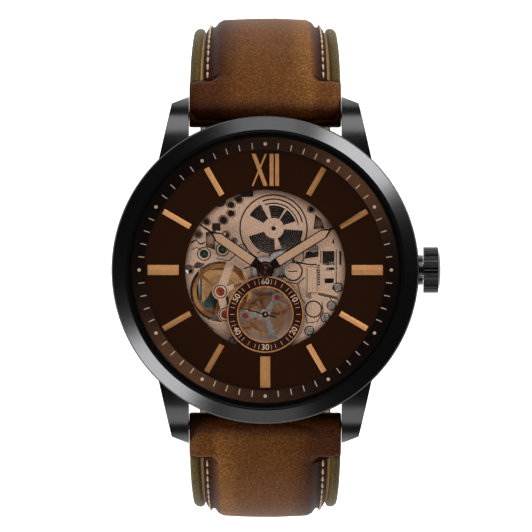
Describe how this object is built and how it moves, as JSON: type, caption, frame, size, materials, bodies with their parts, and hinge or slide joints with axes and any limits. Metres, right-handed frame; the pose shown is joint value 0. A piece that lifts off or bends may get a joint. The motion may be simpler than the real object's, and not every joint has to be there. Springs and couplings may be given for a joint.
{
  "type": "skeleton wristwatch",
  "caption": "Round automatic wristwatch with an open dial showing its gear train, small seconds at six, crown at three and a leather strap curved as worn.",
  "frame": {"origin": "on the hand axis in the plane of the flat outer face of the case back, where the watch rests on the wrist", "axes": "+Z out of the dial, +Y towards twelve o'clock, +X towards the crown at three o'clock"},
  "size_m": [0.047, 0.0739, 0.0629],
  "materials": {
    "black_case": "satin black plated steel",
    "steel": "polished steel",
    "rose_steel": "warm tinted nickel plating",
    "gold": "gilt brass",
    "rose": "rose gold plated",
    "dial_brown": "satin dark brown",
    "hand_brown": "dark brown with beige filling",
    "sapphire": "clear",
    "rubber": "black seal",
    "plastic": "movement holder",
    "ruby": "synthetic ruby",
    "leather": "oiled brown leather"
  },
  "bodies": {
    "case": {"mid_case": "black_case", "bezel": "black_case", "crystal": "sapphire", "crystal_gasket": "steel", "case_back_ring": "black_case", "case_back_glass": "sapphire", "case_back_gasket": "rubber", "crown_tube": "black_case", "movement_ring": "plastic", "dial": "dial_brown", "chapter_ring": "dial_brown", "subdial_ring": "dial_brown", "subdial_rims": "rose", "hour_markers": "rose", "numeral_twelve": "rose", "hairspring": "steel", "main_plate": "rose_steel", "train_bridge": "rose_steel", "barrel_bridge": "rose_steel", "balance_cock": "rose_steel", "pallet_bridge": "steel", "seconds_bridge": "steel", "jewels": "ruby", "movement_screws": "steel", "automatic_bridge": "rose_steel", "rotor_bearing": "steel", "lug_spring_bars": "steel"},
    "hour": {"hour_wheel": "gold", "hour_hand": "hand_brown"},
    "minute": {"centre_wheel": "gold", "cannon_pinion": "steel", "minute_hand": "hand_brown"},
    "motion": {"minute_wheel": "gold"},
    "third": {"third_wheel": "gold"},
    "seconds": {"fourth_wheel": "gold", "seconds_hand": "hand_brown"},
    "escape": {"escape_wheel": "gold"},
    "pallets": {"pallet_fork": "steel"},
    "balance": {"balance_wheel": "gold"},
    "barrel": {"barrel_drum": "gold", "mainspring": "steel"},
    "ratchet": {"barrel_arbor": "steel", "ratchet_wheel": "steel"},
    "crown_gear": {"crown_wheel": "steel"},
    "pawl": {"click": "steel"},
    "winding": {"winding_pinion": "steel"},
    "crown_seal": {"crown_gasket": "rubber"},
    "crown_knob": {"crown": "black_case", "winding_stem": "steel"},
    "clutch": {"clutch": "steel"},
    "set_lever": {"setting_lever": "steel"},
    "rotor": {"rotor": "steel"},
    "reverser": {"reverser_wheel": "steel"},
    "strap_top": {"strap_buckle_half": "leather", "keeper_fixed": "leather", "buckle_spring_bar": "steel"},
    "strap_tail": {"strap_tail_half": "leather"},
    "loop_keeper": {"keeper_free": "leather"},
    "buckle": {"buckle_frame": "black_case"},
    "tongue": {"buckle_tongue": "black_case"}
  },
  "joints": [
    {"name": "seconds_turn", "type": "hinge", "parent": "case", "child": "seconds", "pos_m": [0, -0.00635, 0.0053], "axis": [0, 0, -1], "continuous": true},
    {"name": "third_turn", "type": "hinge", "parent": "case", "child": "third", "pos_m": [0.00171, -0.00395, 0.0048], "axis": [0, 0, -1], "continuous": true},
    {"name": "minute_turn", "type": "hinge", "parent": "case", "child": "minute", "pos_m": [0, 0, 0.0044], "axis": [0, 0, -1], "continuous": true},
    {"name": "motion_turn", "type": "hinge", "parent": "case", "child": "motion", "pos_m": [0.0022, 0.00096, 0.0075], "axis": [0, 0, -1], "continuous": true},
    {"name": "hour_turn", "type": "hinge", "parent": "case", "child": "hour", "pos_m": [0, 0, 0.0081], "axis": [0, 0, -1], "continuous": true},
    {"name": "escape_turn", "type": "hinge", "parent": "case", "child": "escape", "pos_m": [-0.00285, -0.00655, 0.0058], "axis": [0, 0, -1], "continuous": true},
    {"name": "barrel_turn", "type": "hinge", "parent": "case", "child": "barrel", "pos_m": [0.00119, 0.00594, 0.0059], "axis": [0, 0, -1], "continuous": true},
    {"name": "pallet_rock", "type": "hinge", "parent": "case", "child": "pallets", "pos_m": [-0.00567, -0.00635, 0.0058], "axis": [0, 0, 1], "range_deg": [-5, 5]},
    {"name": "balance_swing", "type": "hinge", "parent": "case", "child": "balance", "pos_m": [-0.00643, -0.0031, 0.0048], "axis": [0, 0, 1], "range_deg": [-280, 280]},
    {"name": "crown_pull", "type": "slide", "parent": "case", "child": "crown_seal", "axis": [1, 0, 0], "range_m": [0, 0.0009]},
    {"name": "crown_turn", "type": "hinge", "parent": "crown_seal", "child": "crown_knob", "pos_m": [0.021, 0, 0.0063], "axis": [1, 0, 0], "continuous": true},
    {"name": "clutch_slide", "type": "slide", "parent": "crown_knob", "child": "clutch", "axis": [-1, 0, 0], "range_m": [0, 0.0015]},
    {"name": "lever_turn", "type": "hinge", "parent": "case", "child": "set_lever", "pos_m": [0.0099, -0.0026, 0.0054], "axis": [0, 0, -1], "range_deg": [0, 24.5]},
    {"name": "winding_turn", "type": "hinge", "parent": "case", "child": "winding", "pos_m": [0.0095, 0, 0.0063], "axis": [1, 0, 0], "continuous": true},
    {"name": "crown_wheel_turn", "type": "hinge", "parent": "case", "child": "crown_gear", "pos_m": [0.007, 0, 0.0032], "axis": [0, 0, 1], "continuous": true},
    {"name": "ratchet_turn", "type": "hinge", "parent": "case", "child": "ratchet", "pos_m": [0.00119, 0.00594, 0.0032], "axis": [0, 0, 1], "continuous": true},
    {"name": "click_lift", "type": "hinge", "parent": "case", "child": "pawl", "pos_m": [-0.0059, 0.0052, 0.0032], "axis": [0, 0, -1], "range_deg": [0, 12], "stiffness_Nm_per_rad": 0.00002},
    {"name": "rotor_turn", "type": "hinge", "parent": "case", "child": "rotor", "pos_m": [0, 0, 0.0023], "axis": [0, 0, -1], "continuous": true},
    {"name": "reverser_turn", "type": "hinge", "parent": "case", "child": "reverser", "pos_m": [0.0029, 0.0029, 0.0026], "axis": [0, 0, -1], "continuous": true},
    {"name": "strap_top_swing", "type": "hinge", "parent": "case", "child": "strap_top", "pos_m": [0, 0.0223, 0.0032], "axis": [1, 0, 0], "range_deg": [0, 60]},
    {"name": "strap_tail_swing", "type": "hinge", "parent": "case", "child": "strap_tail", "pos_m": [0, -0.0223, 0.0032], "axis": [-1, 0, 0], "range_deg": [-15, 0]},
    {"name": "buckle_swing", "type": "hinge", "parent": "strap_top", "child": "buckle", "pos_m": [0, 0, -0.0454], "axis": [1, 0, 0], "range_deg": [0, 45]},
    {"name": "tongue_swing", "type": "hinge", "parent": "buckle", "child": "tongue", "pos_m": [0, 0, -0.0454], "axis": [1, 0, 0], "range_deg": [0, 25]},
    {"name": "keeper_slide", "type": "hinge", "parent": "strap_top", "child": "loop_keeper", "pos_m": [0, 0.0092, -0.019], "axis": [1, 0, 0], "range_deg": [0, 28]}
  ],
  "couplings": [
    {"joint": "third_turn", "follows": "seconds_turn", "ratio": -0.13333},
    {"joint": "minute_turn", "follows": "seconds_turn", "ratio": 0.016667},
    {"joint": "motion_turn", "follows": "seconds_turn", "ratio": -0.0055556},
    {"joint": "hour_turn", "follows": "seconds_turn", "ratio": 0.0013889},
    {"joint": "escape_turn", "follows": "seconds_turn", "ratio": -12},
    {"joint": "barrel_turn", "follows": "seconds_turn", "ratio": -0.0023148},
    {"joint": "clutch_slide", "follows": "crown_pull", "ratio": 1.6667},
    {"joint": "lever_turn", "follows": "crown_pull", "rad_per_m": 475.12},
    {"joint": "winding_turn", "follows": "crown_turn", "ratio": 1},
    {"joint": "crown_wheel_turn", "follows": "crown_turn", "ratio": 0.5},
    {"joint": "ratchet_turn", "follows": "crown_turn", "ratio": -0.33333},
    {"joint": "reverser_turn", "follows": "rotor_turn", "ratio": -1.3636}
  ]
}
